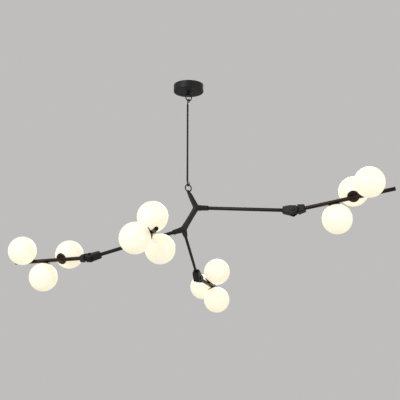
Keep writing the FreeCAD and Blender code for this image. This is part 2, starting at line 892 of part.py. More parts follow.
def grub_bore(side):
    """Threaded hole for a grub screw, from the arm's bore outwards."""
    return rod(f"{side}_grub_bore", grub_frame(side) * shift(ZERO, ZERO, -TOOL_MARGIN),
               S.grub_diameter + S.seat_gap * 2, S.knuckle_height / 2)


def make_fork(side):
    """Fork half of a knuckle, fixed on the end of an arm."""
    body = make_fork_body(f"{side}_fork", S.knuckle_length, S.knuckle_end_height,
                          fork_frame(side))
    mouth = frame(point(-S.knuckle_length - TOOL_MARGIN, ZERO, ZERO), RIGHT, UP)
    socket = rod(f"{side}_fork_socket", fork_frame(side) * mouth,
                 arm_diameter(side) + S.seat_gap * 2, S.fork_socket_depth + TOOL_MARGIN)
    fork = cut(f"{side}_knuckle_fork", body, [socket, grub_bore(side)])
    node(fork, f"{side}_knuckle_fork")


def make_front_tee():
    """Fork on a six-sided sleeve that is fixed round the left arm."""
    foot = arm_start("front")
    sleeve_axis = arm_direction("left")
    reach = Size((pivot("front") - foot).Length)
    tail = reach - S.tee_radius * math.cos(math.radians(30)) + S.tee_overlap
    body = make_fork_body("front_fork", tail, S.tee_end_height, fork_frame("front"))
    across = arm_direction("front")
    sleeve = hexagonal_rod(
        "tee_sleeve", frame(foot - sleeve_axis * (S.tee_length / 2).value, sleeve_axis, across),
        S.tee_radius, S.tee_length)
    bore_start = foot - sleeve_axis * (S.tee_length / 2 + TOOL_MARGIN).value
    bore = rod("tee_bore", frame(bore_start, sleeve_axis, across),
               S.arm_diameter + S.seat_gap * 2, S.tee_length + TOOL_MARGIN * 2)
    tee = cut("front_knuckle_tee", fuse("tee_solid", [body, sleeve]),
              [bore, grub_bore("front")])
    node(tee, "front_knuckle_tee")


def make_tongue():
    """Tongue half of a knuckle: flat tongue, hollowed shoulder, socket for the end tube."""
    body = doc.addObject("PartDesign::Body", "tongue_body")
    outline = new_sketch(body, "tongue_outline", "XY_Plane")
    inner = S.knuckle_shoulder / 3
    relief = S.knuckle_tip + S.shoulder_room
    draw_outline(outline, [
        (inner, -S.knuckle_height / 2), (S.knuckle_shoulder, -S.knuckle_height / 2),
        (S.knuckle_length, -S.knuckle_end_height / 2),
        (S.knuckle_length, S.knuckle_end_height / 2),
        (S.knuckle_shoulder, S.knuckle_height / 2), (inner, S.knuckle_height / 2),
    ])
    bevel_end_faces(body, pad(body, outline, knuckle_width()), S.knuckle_bevel)
    hollow = new_sketch(body, "tongue_hollow", "XY_Plane")
    draw_circle(hollow, ZERO, ZERO, relief * 2)
    pocket(body, hollow)
    plate = new_sketch(body, "tongue_plate", "XY_Plane")
    neck = relief + TOOL_MARGIN
    draw_outline(plate, [
        (ZERO, -S.tongue_radius, S.tongue_radius), (neck, -S.knuckle_end_height / 2),
        (neck, S.knuckle_end_height / 2), (ZERO, S.tongue_radius),
    ])
    pad(body, plate, S.tongue_thickness)
    bore = new_sketch(body, "tongue_bore", "XY_Plane")
    draw_circle(bore, ZERO, ZERO, S.bolt_diameter + S.bore_gap * 2)
    pocket(body, bore)
    bottom = frame(point(S.knuckle_length - S.tongue_socket_depth, ZERO, ZERO), RIGHT, UP)
    socket = rod("tongue_socket", bottom, S.end_tube_diameter + S.seat_gap * 2,
                 S.tongue_socket_depth + TOOL_MARGIN)
    return cut("tongue", body, [socket])


def make_bolt():
    """Pivot bolt with a bevelled round head and a hexagonal key socket."""
    seat = knuckle_width() / 2
    shank = S.bolt_diameter / 2
    head = S.bolt_head_diameter / 2
    top = seat + S.bolt_head_height
    body = turned("bolt", [
        (ZERO, -seat - S.nut_engagement), (shank, -seat - S.nut_engagement), (shank, seat),
        (head, seat), (head, top - S.bolt_head_bevel), (head - S.bolt_head_bevel, top),
        (ZERO, top),
    ])
    key = hexagonal_rod("bolt_key", shift(ZERO, ZERO, top - S.bolt_key_depth),
                        S.bolt_key / math.sqrt(3), S.bolt_key_depth + TOOL_MARGIN)
    return cut("knuckle_bolt", body, [key])


def make_cap_nut():
    """Domed cap nut with its seat at the origin and a blind thread."""
    hexagon = hexagonal_rod("cap_nut_hexagon", Placement(), S.nut_width / math.sqrt(3),
                            S.nut_height)
    base = S.nut_width / 2 - S.nut_rim
    dome_radius = (base * base + S.nut_dome * S.nut_dome) / (S.nut_dome * 2)
    dome = turned("cap_nut_dome", [
        (ZERO, S.nut_height / 2), (base, S.nut_height / 2), (base, S.nut_height),
        (ZERO, S.nut_height + S.nut_dome, dome_radius),
    ])
    thread = rod("cap_nut_thread", shift(ZERO, ZERO, -TOOL_MARGIN),
                 S.bolt_diameter + S.seat_gap * 2,
                 S.nut_engagement + S.glass_gap + TOOL_MARGIN)
    return cut("cap_nut", fuse("cap_nut_blank", [hexagon, dome]), [thread])


def make_knuckle_hardware():
    """Bolts, cap nuts, washers and grub screws of the four knuckles."""
    seat = knuckle_width() / 2
    frames = [fork_frame(side) for side in SIDES]
    group("knuckle_bolts", make_bolt(), frames)
    turned_over = Placement(point(ZERO, ZERO, -seat), Rotation(RIGHT, 180))
    group("knuckle_nuts", make_cap_nut(), [place * turned_over for place in frames])
    washer = tube("washer", Placement(), S.washer_diameter, S.bolt_diameter + S.glass_gap * 2,
                  S.washer_thickness)
    face = S.tongue_thickness / 2 + S.seat_gap
    levels = (face, -face - S.washer_thickness)
    group("knuckle_washers", washer,
          [place * shift(ZERO, ZERO, level) for place in frames for level in levels])
    grub = rod("grub_screw", Placement(), S.grub_diameter, S.grub_length)
    group("grub_screws", grub, [grub_frame(side) for side in SIDES])


# ---------------------------------------------------------------- end tubes and globes

def cup_floor_height():
    """Height of a cup's floor above its end tube's axis."""
    return S.end_tube_diameter / 2 + S.cup_floor


def globe_height():
    """Height of a globe's centre above its end tube's axis."""
    return S.end_tube_diameter / 2 + S.globe_stand_off + S.globe_diameter / 2


def on_sphere(radius, distance):
    """Height on the lower half of a sphere about the globe's centre."""
    return globe_height() - (radius * radius - distance * distance).root()


def make_end_tube():
    """End tube with three radial wiring holes in a helix."""
    start = S.knuckle_length - S.tongue_socket_depth
    length = tube_end() - start
    blank = tube("end_tube_blank", frame(point(start, ZERO, ZERO), RIGHT, UP),
                 S.end_tube_diameter, S.end_tube_diameter - S.end_tube_wall * 2, length)
    holes = [
        rod(f"end_tube_hole_{i + 1}", mount(i), S.spigot_diameter + S.bore_gap * 2,
            S.end_tube_diameter)
        for i in range(GLOBES_PER_BRANCH)
    ]
    return cut("end_tube", blank, holes)


def tube_end():
    """Distance from a knuckle's pivot to the free end of its end tube."""
    return S.first_globe + S.globe_spacing * (GLOBES_PER_BRANCH - 1) + S.tube_run_out


def make_end_cap(side):
    """Bevelled plug in the free end of an end tube, longer where it balances the frame."""
    length = getattr(S, f"{side}_plug_length")
    radius = S.end_tube_diameter / 2 - S.end_tube_wall - S.seat_gap
    plug = turned(f"{side}_plug", [
        (ZERO, ZERO), (radius, ZERO), (radius, length - S.cap_bevel),
        (radius - S.cap_bevel, length), (ZERO, length),
    ])
    inner_end = point(tube_end() - S.cap_recess - length, ZERO, ZERO)
    group(f"{side}_end_cap", plug, [branch_frame(side) * frame(inner_end, RIGHT, UP)])


def make_globe_cup():
    """Dished cup that follows the globe, saddled on the tube, with a groove for its neck."""
    floor = cup_floor_height()
    foot_low = floor - S.cup_foot_height
    under = floor - S.cup_web
    bore = S.spigot_bore / 2
    groove = S.globe_neck_diameter / 2 + S.glass_gap
    seat = S.globe_diameter / 2 + S.glass_gap
    rim = S.cup_diameter / 2
    body = turned("globe_cup", [
        (bore, foot_low), (S.cup_foot_diameter / 2, foot_low),
        (S.cup_foot_diameter / 2, under), (S.cup_flat_diameter / 2, under),
        (rim, on_sphere(seat, rim) - S.cup_rim, S.cup_belly), (rim, on_sphere(seat, rim)),
        (groove, on_sphere(seat, groove), -seat), (groove, floor), (bore, floor),
    ])
    saddle = new_sketch(body, "cup_saddle", "YZ_Plane")
    draw_circle(saddle, ZERO, ZERO, S.end_tube_diameter + S.seat_gap * 2)
    pocket(body, saddle)
    spigot = new_sketch(body, "cup_spigot", "XZ_Plane")
    outer = S.spigot_diameter / 2
    draw_outline(spigot, [
        (bore, floor - S.spigot_length), (outer, floor - S.spigot_length), (outer, floor),
        (bore, floor),
    ])
    revolve(body, spigot)
    return body


def make_lamp_holder():
    """Ceramic lamp holder that stands on a cup's floor, with a slot for the lamp's key."""
    floor = cup_floor_height()
    top = floor + S.holder_height
    step = floor + S.holder_base_height
    body = turned("lamp_holder", [
        (ZERO, floor), (S.holder_base_diameter / 2, floor), (S.holder_base_diameter / 2, step),
        (S.holder_diameter / 2, step), (S.holder_diameter / 2, top), (ZERO, top),
    ])
    length = S.lamp_key_length + S.seat_gap * 2
    width = S.lamp_key_width + S.seat_gap * 2
    slot = primitive("Part::Box", "holder_slot",
                     shift(-length / 2, -width / 2, top - S.lamp_key_depth),
                     Length=length, Width=width, Height=S.lamp_key_depth + TOOL_MARGIN)
    return cut("holder", body, [slot])


def make_lamp():
    """Capsule lamp with a flat key that pushes into the holder."""
    low = cup_floor_height() + S.holder_height + S.glass_gap
    radius = S.lamp_diameter / 2
    top = low + S.lamp_length
    capsule = turned("lamp_capsule", [
        (ZERO, low), (radius, low), (radius, top - radius), (ZERO, top, radius),
    ])
    key = primitive("Part::Box", "lamp_key",
                    shift(-S.lamp_key_length / 2, -S.lamp_key_width / 2,
                          low - S.lamp_key_depth),
                    Length=S.lamp_key_length, Width=S.lamp_key_width,
                    Height=S.lamp_key_depth + TOOL_MARGIN)
    return fuse("lamp", [capsule, key])


def make_globe():
    """Opal glass globe, hollow, open at its short neck."""
    outer = S.globe_diameter / 2
    inner = outer - S.globe_wall
    neck = S.globe_neck_diameter / 2
    throat = neck - S.globe_wall
    low = cup_floor_height() + S.glass_gap
    return turned("globe", [
        (throat, low), (neck, low), (neck, on_sphere(outer, neck)),
        (ZERO, globe_height() + outer, outer), (ZERO, globe_height() + inner),
        (throat, on_sphere(inner, throat), -inner),
    ])


def make_branches():
    """The four turning branches, each with three globes in a helix."""
    tongue = make_tongue()
    end_tube = make_end_tube()
    cup = make_globe_cup()
    holder = make_lamp_holder()
    lamp = make_lamp()
    globe = make_globe()
    for side in SIDES:
        rolled = rolled_frame(side)
        mounts = [rolled * mount(i) for i in range(GLOBES_PER_BRANCH)]
        group(f"{side}_knuckle_tongue", tongue, [branch_frame(side)])
        group(f"{side}_end_tube", end_tube, [rolled])
        make_end_cap(side)
        group(f"{side}_globe_cups", cup, mounts)
        group(f"{side}_lamp_holders", holder, mounts)
        group(f"{side}_lamps", lamp, mounts)
        for i, place in enumerate(mounts, start=1):
            group(f"{side}_globe_{i}", globe, [place])


# ---------------------------------------------------------------- build and write

def make_frame():
    """Castings, arms and knuckle forks."""
    make_upper_casting()
    make_lower_casting()
    make_stud()
    make_arm("left", S.left_leg_length, S.arm_diameter)
    make_arm("right", S.right_leg_length, S.arm_diameter)
    make_arm("rear", S.rear_leg_length, S.rear_arm_diameter)
    for side in ("left", "right", "rear"):
        make_fork(side)
    make_front_tee()
    make_knuckle_hardware()


def check_and_write():
    """Stop on any failed object or bad shape, then write one file for each piece."""
    doc.recompute()
    failed = [o.Name for o in doc.Objects if "Invalid" in o.State or "Error" in o.State]
    if failed:
        raise RuntimeError(f"failed objects: {failed}")
    for label, obj in NODES.items():
        if obj.Shape.isNull() or not obj.Shape.isValid():
            raise RuntimeError(f"bad shape: {label}")
    os.makedirs("parts", exist_ok=True)
    for label, obj in NODES.items():
        obj.Shape.exportStep(f"parts/{label}.step")
        print(f"{label}: {len(obj.Shape.Solids)} solids, {obj.Shape.Volume:.1f} mm3")
    print(f"{len(NODES)} pieces")


make_ceiling_bracket()
make_nipple_and_nuts()
make_canopy()
make_canopy_boss()
make_terminal_block()
make_links_and_stem()
make_frame()
make_branches()
check_and_write()
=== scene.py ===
"""Branch chandelier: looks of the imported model, its studio and its camera.

Metres, +Z up, +X right, +Y away from the viewer, with the origin on the ceiling.
"""
from __future__ import annotations

import json
import logging
import math
from dataclasses import dataclass, field
from enum import Enum
from typing import Any, Iterator, Sequence

import bpy
from mathutils import Matrix, Vector

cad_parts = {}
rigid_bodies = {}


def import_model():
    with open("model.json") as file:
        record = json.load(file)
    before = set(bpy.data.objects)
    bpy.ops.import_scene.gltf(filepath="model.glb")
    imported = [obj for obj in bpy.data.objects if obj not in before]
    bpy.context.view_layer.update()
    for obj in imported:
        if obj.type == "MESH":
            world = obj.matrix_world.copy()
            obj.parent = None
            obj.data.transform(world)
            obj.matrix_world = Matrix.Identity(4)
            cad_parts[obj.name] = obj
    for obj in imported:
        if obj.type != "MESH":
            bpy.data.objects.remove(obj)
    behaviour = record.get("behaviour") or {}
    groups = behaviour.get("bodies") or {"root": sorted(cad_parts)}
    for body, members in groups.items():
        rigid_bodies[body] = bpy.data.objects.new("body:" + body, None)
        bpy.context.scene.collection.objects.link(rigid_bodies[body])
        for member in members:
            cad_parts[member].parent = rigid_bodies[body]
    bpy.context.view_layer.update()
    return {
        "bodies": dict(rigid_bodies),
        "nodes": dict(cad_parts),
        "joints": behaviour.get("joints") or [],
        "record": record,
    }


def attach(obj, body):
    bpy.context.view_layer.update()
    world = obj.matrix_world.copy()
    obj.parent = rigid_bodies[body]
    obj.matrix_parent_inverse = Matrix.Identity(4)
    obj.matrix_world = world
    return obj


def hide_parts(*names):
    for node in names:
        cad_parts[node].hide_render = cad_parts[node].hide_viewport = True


LOG = logging.getLogger("branch_chandelier")
MM = 0.001
WELD = 0.002 * MM  # points that are closer than this are one
FLAT = 0.3  # degrees; faces that turn less than this are merged before a bevel
FACET = 24.0  # degrees; the castings' facets meet at more than this
PIPE_EDGE = 0.3  # millimetres; width of a tube's broken edges
EDGE_BELLY = 0.3  # share of that width that is left halfway round the edge
TUBE_SMOOTH = 50.0  # degrees; shades round walls smooth, up to their broken edges
RIGHT = Vector((1.0, 0.0, 0.0))
UP = Vector((0.0, 0.0, 1.0))
Triple = tuple[float, float, float]
Colour = Triple
Profile = Sequence[tuple[float, float]]


class Side(Enum):
    """The four branches, by where they leave the frame."""

    LEFT = "left"
    RIGHT = "right"
    REAR = "rear"
    FRONT = "front"


# ---------------------------------------------------------------- modelling tools

def clear_selection() -> None:
    """Leave edit mode and deselect everything."""
    if bpy.context.object is not None and bpy.context.object.mode != "OBJECT":
        bpy.ops.object.mode_set(mode="OBJECT")
    bpy.ops.object.select_all(action="DESELECT")


def take(piece: bpy.types.Object) -> None:
    """Make a piece the only selected and the active one.

    Args:
        piece: The object to work on.
    """
    clear_selection()
    piece.select_set(True)
    bpy.context.view_layer.objects.active = piece


def finish_modifier(piece: bpy.types.Object, kind: str, **settings: Any) -> None:
    """Add a modifier to a piece and apply it.

    Args:
        piece: The object to change.
        kind: Blender's name for the modifier type.
        **settings: The modifier's properties.
    """
    take(piece)
    bpy.ops.object.modifier_add(type=kind)
    modifier = piece.modifiers[-1]
    for name, value in settings.items():
        setattr(modifier, name, value)
    bpy.ops.object.modifier_apply(modifier=modifier.name)


def smooth(piece: bpy.types.Object, angle: float = 32.0) -> None:
    """Shade a piece smooth, except over edges sharper than an angle.

    Args:
        piece: The object to shade.
        angle: Sharpest edge that is still shaded smooth, in degrees.
    """
    take(piece)
    bpy.ops.object.shade_smooth_by_angle(angle=math.radians(angle))


def arc(centre: tuple[float, float], radius: float, start: float, stop: float,
        steps: int) -> list[tuple[float, float]]:
    """Points of an arc in a turned profile.

    Args:
        centre: Distance from the axis and height of the arc's centre.
        radius: Radius of the arc.
        start: Angle of the first point, in degrees from straight outwards.
        stop: Angle of the last point.
        steps: Number of stretches between the points.

    Returns:
        The points, first to last.
    """
    points = []
    for step in range(steps + 1):
        angle = math.radians(start + (stop - start) * step / steps)
        points.append((centre[0] + radius * math.cos(angle),
                       centre[1] + radius * math.sin(angle)))
    return points


def turned(name: str, profile: Profile, segments: int = 96) -> bpy.types.Object:
    """Turn a profile about the Z axis, ring by ring, as on a lathe.

    Args:
        name: Name of the new piece.
        profile: Points at a distance from the axis and a height, in millimetres. A
            radius of zero, allowed at the last point only, closes the end.
        segments: Number of flats round the piece.

    Returns:
        The new piece, in metres.
    """
    clear_selection()
    radius, height = profile[0]
    bpy.ops.mesh.primitive_circle_add(vertices=segments, radius=radius * MM,
                                      location=(0.0, 0.0, 0.0))
    piece = bpy.context.object
    piece.name = piece.data.name = name
    bpy.ops.object.mode_set(mode="EDIT")
    bpy.ops.mesh.select_all(action="SELECT")
    bpy.ops.transform.translate(value=(0.0, 0.0, height * MM))
    for (inner, low), (outer, high) in zip(profile, profile[1:]):
        grow = outer / inner
        bpy.ops.mesh.extrude_edges_move(
            TRANSFORM_OT_translate={"value": (0.0, 0.0, (high - low) * MM)})
        bpy.ops.transform.resize(value=(grow, grow, 1.0),
                                 center_override=(0.0, 0.0, high * MM))
    bpy.ops.mesh.select_all(action="SELECT")
    bpy.ops.mesh.remove_doubles(threshold=WELD)
    bpy.ops.mesh.normals_make_consistent(inside=False)
    bpy.ops.object.mode_set(mode="OBJECT")
    return piece


def pipe(name: str, first: Vector, last: Vector, outer: float, wall: float,
         segments: int = 64) -> bpy.types.Object:
    """Straight round tube with broken edges at both ends.

    Args:
        name: Name of the new piece.
        first: Centre of one end, in metres.
        last: Centre of the other end, in metres.
        outer: Outer diameter, in millimetres.
        wall: Wall thickness, in millimetres.
        segments: Number of flats round the tube.

    Returns:
        The tube, in place.
    """
    radius, length, edge = outer / 2, (last - first).length / MM, PIPE_EDGE
    bore, belly = radius - wall, edge * EDGE_BELLY
    piece = turned(name, [
        (bore + edge, 0.0), (radius - edge, 0.0), (radius - belly, belly),
        (radius, edge), (radius, length - edge), (radius - belly, length - belly),
        (radius - edge, length), (bore + edge, length), (bore, length - edge), (bore, edge),
        (bore + edge, 0.0),
    ], segments)
    smooth(piece, TUBE_SMOOTH)
    settle(piece, placed(first, last - first, -Vector((0.0, 1.0, 0.0))))
    return piece


def placed(origin: Vector, z_axis: Vector, x_hint: Vector) -> Matrix:
    """Place with its Z along one direction and its X as near another as it can be.

    Args:
        origin: Where the place is, in metres.
        z_axis: Direction of its Z.
        x_hint: Direction that its X leans to.

    Returns:
        The matrix of the place.
    """
    z_unit = z_axis.normalized()
    y_unit = z_unit.cross(x_hint).normalized()
    place = Matrix((y_unit.cross(z_unit), y_unit, z_unit)).transposed().to_4x4()
    place.translation = origin
    return place


def settle(piece: bpy.types.Object, place: Matrix) -> None:
    """Move a piece's mesh to its place and leave its object at the origin.

    Args:
        piece: The finished piece.
        place: Where it goes.
    """
    piece.matrix_world = place
    take(piece)
    bpy.ops.object.transform_apply(location=True, rotation=True, scale=True)


def copies(master: bpy.types.Object, name: str,
           places: Sequence[Matrix]) -> list[bpy.types.Object]:
    """Copy a piece to several places, each copy with its own mesh.

    Args:
        master: The piece to copy; it stays where it is.
        name: Start of the copies' names.
        places: Where the copies go.

    Returns:
        The copies, in order.
    """
    made = []
    for number, place in enumerate(places, start=1):
        take(master)
        bpy.ops.object.duplicate(linked=False)
        piece = bpy.context.object
        piece.name = piece.data.name = f"{name}_{number}"
        settle(piece, place)
        made.append(piece)
    return made


def joined(pieces: Sequence[bpy.types.Object], name: str) -> bpy.types.Object:
    """Join pieces into one.

    Args:
        pieces: What to join.
        name: Name of the result.

    Returns:
        The joined piece.
    """
    take(pieces[0])
    for piece in pieces:
        piece.select_set(True)
    bpy.ops.object.join()
    result = bpy.context.object
    result.name = result.data.name = name
    return result


# ---------------------------------------------------------------- shader node groups

def put(tree: bpy.types.NodeTree, kind: str, inputs: dict[Any, Any] | None = None,
        **settings: Any) -> bpy.types.Node:
    """Add a node, set its properties and fill or link its inputs.

    Args:
        tree: The node tree to add to.
        kind: Blender's name for the node type.
        inputs: Values or output sockets by input name or number.
        **settings: The node's properties.

    Returns:
        The new node.
    """
    node = tree.nodes.new(kind)
    for name, value in settings.items():
        setattr(node, name, value)
    for key, value in (inputs or {}).items():
        if isinstance(value, bpy.types.NodeSocket):
            tree.links.new(value, node.inputs[key])
        else:
            node.inputs[key].default_value = value
    return node


def blended(tree: bpy.types.NodeTree, factor: Any, first: Any,
            second: Any) -> bpy.types.NodeSocket:
    """Mix two colours.

    Args:
        tree: The node tree to add to.
        factor: Value or socket of the mix.
        first: Colour at a factor of zero, as three numbers or a socket.
        second: Colour at a factor of one.

    Returns:
        The mixed colour's socket.
    """
    colours = [c if isinstance(c, bpy.types.NodeSocket) else (*c, 1.0)
               for c in (first, second)]
    mix = put(tree, "ShaderNodeMix", {0: factor, 6: colours[0], 7: colours[1]},
              data_type="RGBA")
    return mix.outputs[2]


def ranged(tree: bpy.types.NodeTree, value: bpy.types.NodeSocket, source: tuple[float, float],
           target: tuple[float, float]) -> bpy.types.NodeSocket:
    """Map a value from one range to another, held within it.

    Args:
        tree: The node tree to add to.
        value: The socket to map.
        source: Range that the value has.
        target: Range that it gets.

    Returns:
        The mapped value's socket.
    """
    node = put(tree, "ShaderNodeMapRange", {
        "Value": value, "From Min": source[0], "From Max": source[1],
        "To Min": target[0], "To Max": target[1]}, clamp=True)
    return node.outputs["Result"]


class ShaderGroups:
    """The effects that several finishes share, each built once as a node group."""

    def __init__(self) -> None:
        """Build the groups."""
        self.edge_wear = self._edge_wear()
        self.grain = self._grain()

    @staticmethod
    def _new(name: str, inputs: dict[str, float], outputs: dict[str, str]) -> tuple[
            bpy.types.NodeTree, bpy.types.Node, bpy.types.Node]:
        """Start a group.

        Args:
            name: The group's name.
            inputs: Default values of its inputs by name.
            outputs: Kinds of its outputs by name.

        Returns:
            The group, its input node and its output node.
        """
        tree = bpy.data.node_groups.new(name, "ShaderNodeTree")
        for label, default in inputs.items():
            socket = tree.interface.new_socket(name=label, in_out="INPUT",
                                               socket_type="NodeSocketFloat")
            socket.default_value = default
        for label, kind in outputs.items():
            tree.interface.new_socket(name=label, in_out="OUTPUT", socket_type=kind)
        return tree, put(tree, "NodeGroupInput"), put(tree, "NodeGroupOutput")

    def _edge_wear(self) -> bpy.types.NodeTree:
        """Rounded normal and a broken mask along sharp edges.

        Returns:
            The group, with Mask and Normal outputs.
        """
        tree, given, result = self._new(
            "edge_wear", {"Width": 0.0006, "Amount": 0.5, "Patches": 260.0},
            {"Mask": "NodeSocketFloat", "Normal": "NodeSocketVector"})
        bevel = put(tree, "ShaderNodeBevel", {"Radius": given.outputs["Width"]}, samples=4)
        shape = put(tree, "ShaderNodeNewGeometry")
        facing = put(tree, "ShaderNodeVectorMath", {
            0: bevel.outputs["Normal"], 1: shape.outputs["Normal"]}, operation="DOT_PRODUCT")
        edge = ranged(tree, facing.outputs["Value"], (0.995, 0.87), (0.0, 1.0))
        where = put(tree, "ShaderNodeTexCoord")
        noise = put(tree, "ShaderNodeTexNoise", {
            "Vector": where.outputs["Object"], "Scale": given.outputs["Patches"],
            "Detail": 4.0, "Roughness": 0.6})
        patches = ranged(tree, noise.outputs["Fac"], (0.42, 0.62), (0.0, 1.0))
        broken = put(tree, "ShaderNodeMath", {0: edge, 1: patches}, operation="MULTIPLY")
        mask = put(tree, "ShaderNodeMath", {0: broken.outputs[0], 1: given.outputs["Amount"]},
                   operation="MULTIPLY")
        tree.links.new(mask.outputs[0], result.inputs["Mask"])
        tree.links.new(bevel.outputs["Normal"], result.inputs["Normal"])
        return tree

    def _grain(self) -> bpy.types.NodeTree:
        """Fine grain, a slow change of tone and smudges of gloss.

        Returns:
            The group, with Height, Tone and Smudge outputs.
        """
        tree, given, result = self._new(
            "grain", {"Grain": 900.0, "Cloud": 22.0},
            {"Height": "NodeSocketFloat", "Tone": "NodeSocketFloat",
             "Smudge": "NodeSocketFloat"})
        where = put(tree, "ShaderNodeTexCoord")
        fine = put(tree, "ShaderNodeTexNoise", {
            "Vector": where.outputs["Object"], "Scale": given.outputs["Grain"],
            "Detail": 3.0, "Roughness": 0.55})
        slow = put(tree, "ShaderNodeTexNoise", {
            "Vector": where.outputs["Object"], "Scale": given.outputs["Cloud"],
            "Detail": 2.0, "Roughness": 0.5})
        smudge = put(tree, "ShaderNodeTexNoise", {
            "Vector": where.outputs["Object"], "Scale": given.outputs["Cloud"],
            "Detail": 6.0, "Roughness": 0.7, "Distortion": 0.6})
        tree.links.new(fine.outputs["Fac"], result.inputs["Height"])
        tree.links.new(ranged(tree, slow.outputs["Fac"], (0.35, 0.65), (0.0, 1.0)),
                       result.inputs["Tone"])
        tree.links.new(ranged(tree, smudge.outputs["Fac"], (0.35, 0.68), (0.0, 1.0)),
                       result.inputs["Smudge"])
        return tree


# ---------------------------------------------------------------- finishes

def new_material(name: str) -> tuple[bpy.types.Material, bpy.types.NodeTree, bpy.types.Node]:
    """Start a material.

    Args:
        name: The material's name.

    Returns:
        The material, its node tree and its Principled shader.
    """
    material = bpy.data.materials.new(name)
    material.use_nodes = True
    tree = material.node_tree
    return material, tree, tree.nodes["Principled BSDF"]


@dataclass(frozen=True)
class PaintedMetal:
    """Black lacquer over metal: fine grain, smudged gloss and paler broken edges.

    Attributes:
        colour: Colour of the coat.
        tint: Colour that the coat drifts to in patches.
        worn: Colour on worn edges.
        roughness: Middle of the roughness.
        spread: How far the roughness moves either way.
        grain: Fine grain, in features per metre.
        depth: Height of the grain, in millimetres.
        wear: Share of the edges that is worn.
        edge: Width of the rounded edges, in millimetres.
        metallic: How much bare metal shows through the coat.
        specular: Level of the coat's mirror reflection.
    """

    colour: Colour
    tint: Colour
    worn: Colour
    roughness: float = 0.42
    spread: float = 0.08
    grain: float = 1100.0
    depth: float = 0.03
    wear: float = 0.5
    edge: float = 0.5
    metallic: float = 0.0
    specular: float = 0.28

    def material(self, name: str, groups: ShaderGroups) -> bpy.types.Material:
        """Make the material.

        Args:
            name: The material's name.
            groups: The shared node groups.

        Returns:
            The new material.
        """
        material, tree, shader = new_material(name)
        grain = put(tree, "ShaderNodeGroup", node_tree=groups.grain)
        grain.inputs["Grain"].default_value = self.grain
        edges = put(tree, "ShaderNodeGroup", node_tree=groups.edge_wear)
        edges.inputs["Width"].default_value = self.edge * MM
        edges.inputs["Amount"].default_value = self.wear
        coat = blended(tree, grain.outputs["Tone"], self.colour, self.tint)
        colour = blended(tree, edges.outputs["Mask"], coat, self.worn)
        gloss = ranged(tree, grain.outputs["Smudge"], (0.0, 1.0),
                       (self.roughness - self.spread, self.roughness + self.spread))
        bump = put(tree, "ShaderNodeBump", {
            "Height": grain.outputs["Height"], "Normal": edges.outputs["Normal"],
            "Strength": 0.6, "Distance": self.depth * MM})
        tree.links.new(colour, shader.inputs["Base Color"])
        tree.links.new(gloss, shader.inputs["Roughness"])
        tree.links.new(bump.outputs["Normal"], shader.inputs["Normal"])
        shader.inputs["Metallic"].default_value = self.metallic
        shader.inputs["Specular IOR Level"].default_value = self.specular
        return material


@dataclass(frozen=True)
class BrushedSteel:
    """Plated steel with fine drawn lines along X.

    Attributes:
        colour: Colour of the metal.
        shade: Colour in the drawn lines.
        roughness: Middle of the roughness.
    """

    colour: Colour = (0.62, 0.62, 0.61)
    shade: Colour = (0.42, 0.42, 0.42)
    roughness: float = 0.36

    def material(self, name: str, groups: ShaderGroups) -> bpy.types.Material:
        """Make the material.

        Args:
            name: The material's name.
            groups: The shared node groups.

        Returns:
            The new material.
        """
        material, tree, shader = new_material(name)
        where = put(tree, "ShaderNodeTexCoord")
        drawn = put(tree, "ShaderNodeMapping", {
            "Vector": where.outputs["Object"], "Scale": (60.0, 1800.0, 1800.0)})
        lines = put(tree, "ShaderNodeTexNoise", {
            "Vector": drawn.outputs["Vector"], "Scale": 1.0, "Detail": 3.0})
        edges = put(tree, "ShaderNodeGroup", node_tree=groups.edge_wear)
        bump = put(tree, "ShaderNodeBump", {
            "Height": lines.outputs["Fac"], "Normal": edges.outputs["Normal"],
            "Strength": 0.4, "Distance": 0.02 * MM})
        tree.links.new(blended(tree, lines.outputs["Fac"], self.colour, self.shade),
                       shader.inputs["Base Color"])
        tree.links.new(ranged(tree, lines.outputs["Fac"], (0.3, 0.7),
                              (self.roughness - 0.08, self.roughness + 0.1)),
                       shader.inputs["Roughness"])
        tree.links.new(bump.outputs["Normal"], shader.inputs["Normal"])
        shader.inputs["Metallic"].default_value = 1.0
        return material


@dataclass(frozen=True)
class GlazedOrMoulded:
    """Glazed ceramic or moulded plastic, with faint specks under the surface.

    Attributes:
        colour: Main colour.
        speck: Colour of the specks.
        roughness: Middle of the roughness.
        coat: Weight of the clear glaze.
    """

    colour: Colour
    speck: Colour
    roughness: float
    coat: float

    def material(self, name: str, groups: ShaderGroups) -> bpy.types.Material:
        """Make the material.

        Args:
            name: The material's name.
            groups: The shared node groups.

        Returns:
            The new material.
        """
        material, tree, shader = new_material(name)
        grain = put(tree, "ShaderNodeGroup", node_tree=groups.grain)
        grain.inputs["Grain"].default_value = 700.0
        specks = ranged(tree, grain.outputs["Height"], (0.6, 0.72), (0.0, 1.0))
        bump = put(tree, "ShaderNodeBump", {
            "Height": grain.outputs["Smudge"], "Strength": 0.3, "Distance": 0.05 * MM})
        tree.links.new(blended(tree, specks, self.colour, self.speck),
                       shader.inputs["Base Color"])
        tree.links.new(ranged(tree, grain.outputs["Smudge"], (0.0, 1.0),
                              (self.roughness - 0.05, self.roughness + 0.07)),
                       shader.inputs["Roughness"])
        tree.links.new(bump.outputs["Normal"], shader.inputs["Normal"])
        shader.inputs["Coat Weight"].default_value = self.coat
        return material


